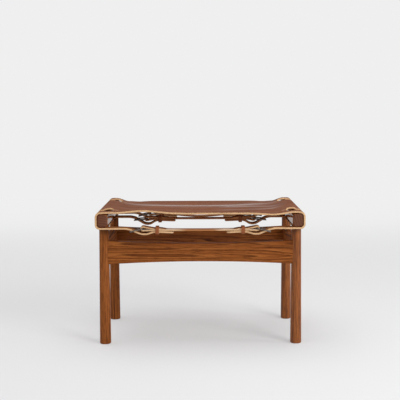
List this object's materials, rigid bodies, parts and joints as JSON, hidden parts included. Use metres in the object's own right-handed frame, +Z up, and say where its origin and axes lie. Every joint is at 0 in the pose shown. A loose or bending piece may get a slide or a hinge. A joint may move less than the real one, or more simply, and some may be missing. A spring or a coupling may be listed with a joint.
{
  "type": "footstool",
  "caption": "Low wooden footstool with turned legs, arched aprons and a thick leather sling seat buckled under its rails.",
  "frame": {"origin": "on the floor, under the middle of the stool", "axes": "+Z up, +X to the right along the stool's length, -Y to the front"},
  "size_m": [0.6016, 0.4452, 0.3993],
  "materials": {
    "oak": "brown-stained oak, satin lacquer",
    "saddle_hide": "brown saddle leather, waxed, raw tan edges",
    "strap_hide": "brown saddle leather, raw tan edges",
    "keeper_hide": "thin orange-brown leather",
    "buckle_metal": "nickelled wire, slightly dulled"
  },
  "bodies": {
    "stool": {"rail_left": "oak", "leg_front_left": "oak", "leg_rear_left": "oak", "apron_left": "oak", "rail_right": "oak", "leg_front_right": "oak", "leg_rear_right": "oak", "apron_right": "oak", "apron_front": "oak", "apron_rear": "oak", "seat_sling": "saddle_hide", "strap_front": "strap_hide", "buckle_front_left": "buckle_metal", "buckle_front_right": "buckle_metal", "strap_middle": "strap_hide", "buckle_middle_left": "buckle_metal", "buckle_middle_right": "buckle_metal", "strap_rear": "strap_hide", "buckle_rear_left": "buckle_metal", "buckle_rear_right": "buckle_metal"},
    "tongue_body_front_left": {"tongue_front_left": "buckle_metal"},
    "keeper_body_front_left": {"keeper_front_left": "keeper_hide"},
    "tongue_body_front_right": {"tongue_front_right": "buckle_metal"},
    "keeper_body_front_right": {"keeper_front_right": "keeper_hide"},
    "tongue_body_middle_left": {"tongue_middle_left": "buckle_metal"},
    "keeper_body_middle_left": {"keeper_middle_left": "keeper_hide"},
    "tongue_body_middle_right": {"tongue_middle_right": "buckle_metal"},
    "keeper_body_middle_right": {"keeper_middle_right": "keeper_hide"},
    "tongue_body_rear_left": {"tongue_rear_left": "buckle_metal"},
    "keeper_body_rear_left": {"keeper_rear_left": "keeper_hide"},
    "tongue_body_rear_right": {"tongue_rear_right": "buckle_metal"},
    "keeper_body_rear_right": {"keeper_rear_right": "keeper_hide"}
  },
  "joints": [
    {"name": "tongue_hinge_front_left", "type": "hinge", "parent": "stool", "child": "tongue_body_front_left", "pos_m": [-0.165, -0.20075, 0.3455], "axis": [0, -1, 0], "range_deg": [0, 6]},
    {"name": "keeper_slide_front_left", "type": "slide", "parent": "stool", "child": "keeper_body_front_left", "axis": [-1, 0, 0], "range_m": [-0.004, 0.0025]},
    {"name": "tongue_hinge_front_right", "type": "hinge", "parent": "stool", "child": "tongue_body_front_right", "pos_m": [0.165, -0.20075, 0.3455], "axis": [0, 1, 0], "range_deg": [0, 6]},
    {"name": "keeper_slide_front_right", "type": "slide", "parent": "stool", "child": "keeper_body_front_right", "axis": [1, 0, 0], "range_m": [-0.004, 0.0025]},
    {"name": "tongue_hinge_middle_left", "type": "hinge", "parent": "stool", "child": "tongue_body_middle_left", "pos_m": [-0.165, 0, 0.3507], "axis": [0, -1, 0], "range_deg": [0, 6]},
    {"name": "keeper_slide_middle_left", "type": "slide", "parent": "stool", "child": "keeper_body_middle_left", "axis": [-1, 0, 0], "range_m": [-0.004, 0.0025]},
    {"name": "tongue_hinge_middle_right", "type": "hinge", "parent": "stool", "child": "tongue_body_middle_right", "pos_m": [0.165, 0, 0.3507], "axis": [0, 1, 0], "range_deg": [0, 6]},
    {"name": "keeper_slide_middle_right", "type": "slide", "parent": "stool", "child": "keeper_body_middle_right", "axis": [1, 0, 0], "range_m": [-0.004, 0.0025]},
    {"name": "tongue_hinge_rear_left", "type": "hinge", "parent": "stool", "child": "tongue_body_rear_left", "pos_m": [-0.165, 0.20075, 0.3455], "axis": [0, -1, 0], "range_deg": [0, 6]},
    {"name": "keeper_slide_rear_left", "type": "slide", "parent": "stool", "child": "keeper_body_rear_left", "axis": [-1, 0, 0], "range_m": [-0.004, 0.0025]},
    {"name": "tongue_hinge_rear_right", "type": "hinge", "parent": "stool", "child": "tongue_body_rear_right", "pos_m": [0.165, 0.20075, 0.3455], "axis": [0, 1, 0], "range_deg": [0, 6]},
    {"name": "keeper_slide_rear_right", "type": "slide", "parent": "stool", "child": "keeper_body_rear_right", "axis": [1, 0, 0], "range_m": [-0.004, 0.0025]}
  ]
}
